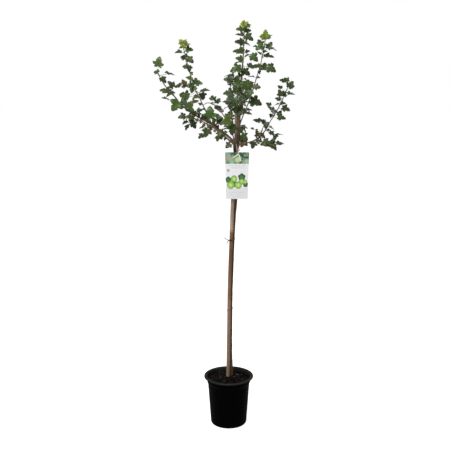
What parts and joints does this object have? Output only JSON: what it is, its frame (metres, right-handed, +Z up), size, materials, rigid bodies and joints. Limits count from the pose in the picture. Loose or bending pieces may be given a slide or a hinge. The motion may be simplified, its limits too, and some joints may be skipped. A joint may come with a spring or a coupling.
{
  "type": "potted standard gooseberry tree",
  "caption": "Young gooseberry grown as a standard: a thorny leafy head on a tall bare stem, tied to a bamboo cane in a round nursery pot, with a hanging card label.",
  "frame": {"origin": "middle of the pot's flat base, on the surface it stands on", "axes": "+Z up along the stem, -Y the front where the label hangs, +X to the right seen from the front"},
  "size_m": [0.5137, 0.2817, 1.5245],
  "materials": {
    "nursery_pot": "satin black moulded polypropylene, a little dusty, with a rolled rim",
    "compost": "dark damp bark compost, loose and rough",
    "bark": "dark brown bark with paler streaks, matt",
    "bamboo": "dry bamboo, satin, pinkish tan above its node and golden brown below",
    "coated_wire": "dark grey-green plastic-coated wire",
    "label_card": "thin white printed plastic card, slightly glossy",
    "label_strap": "soft pale yellow-green plastic strap",
    "foliage": "green leaves on thin brown shoots, satin above and greyer below"
  },
  "bodies": {
    "root": {"pot": "nursery_pot", "soil": "compost", "trunk": "bark", "cane": "bamboo", "wire_tie": "coated_wire", "label": "label_card", "label_strap": "label_strap", "left_outer": "foliage", "left_low": "foliage", "left_upright": "foliage", "left_inner": "foliage", "leader": "foliage", "centre_right": "foliage", "front": "foliage", "back": "foliage", "right_outer": "foliage", "right_inner": "foliage", "right_low": "foliage"}
  },
  "joints": []
}
